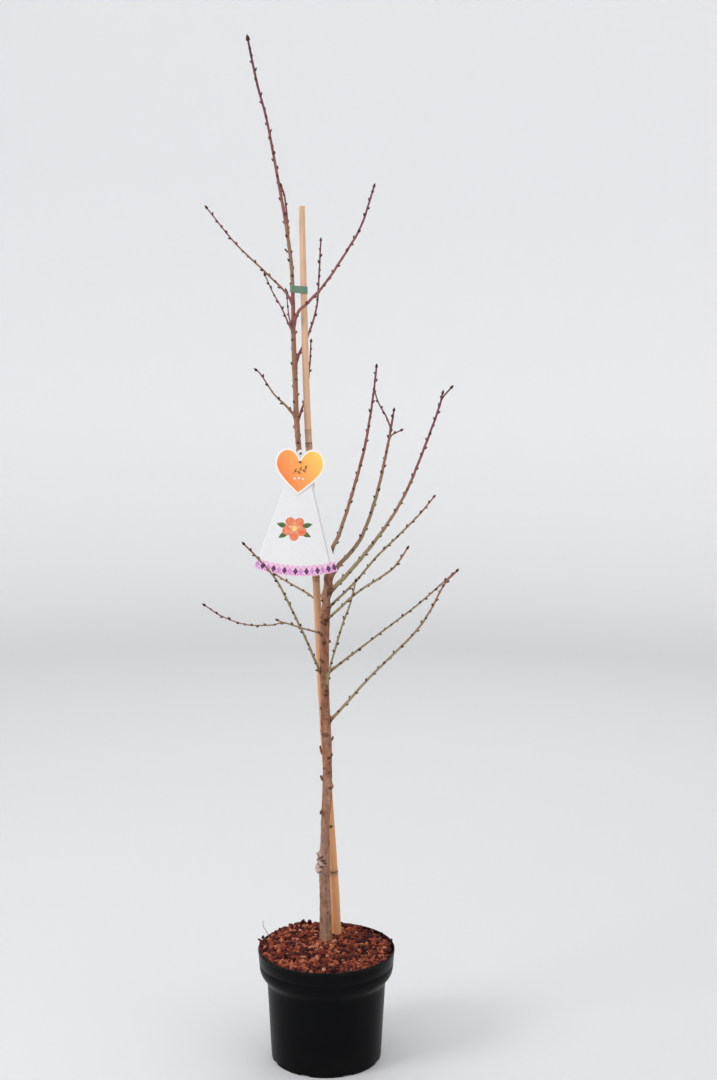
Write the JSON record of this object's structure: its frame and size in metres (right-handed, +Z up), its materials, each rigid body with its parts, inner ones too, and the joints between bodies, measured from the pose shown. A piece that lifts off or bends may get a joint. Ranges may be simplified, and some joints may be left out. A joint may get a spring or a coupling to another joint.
{
  "type": "potted nectarine tree",
  "caption": "Young leafless fruit tree in a black nursery pot of bark mulch, staked to a bamboo cane with a soft tie, with three hanging label cards.",
  "frame": {"origin": "middle of the pot's underside, on the surface the pot stands on", "axes": "+Z up, -Y towards the front of the label cards, +X to the right seen from the front"},
  "size_m": [0.4509, 0.3288, 1.8229],
  "materials": {
    "pot_plastic": "satin black moulded plastic, faintly scuffed",
    "soil": "moist crumbly potting soil",
    "mulch": "rough red-brown bark chips",
    "bark": "smooth brown bark, red and olive on the young shoots",
    "bamboo": "dry bamboo, satin",
    "tie_plastic": "soft green tying tape",
    "card_white": "satin printed card",
    "card_orange": "satin card, orange to yellow, white edge",
    "wire": "dark plastic-covered wire"
  },
  "bodies": {
    "root": {"pot": "pot_plastic", "potting_soil": "soil", "bark_mulch": "mulch", "tree": "bark", "cane": "bamboo", "tie_band": "tie_plastic", "label_back_leaf": "card_white", "label_front_leaf": "card_white", "label_heart": "card_orange", "label_wire": "wire"}
  },
  "joints": []
}
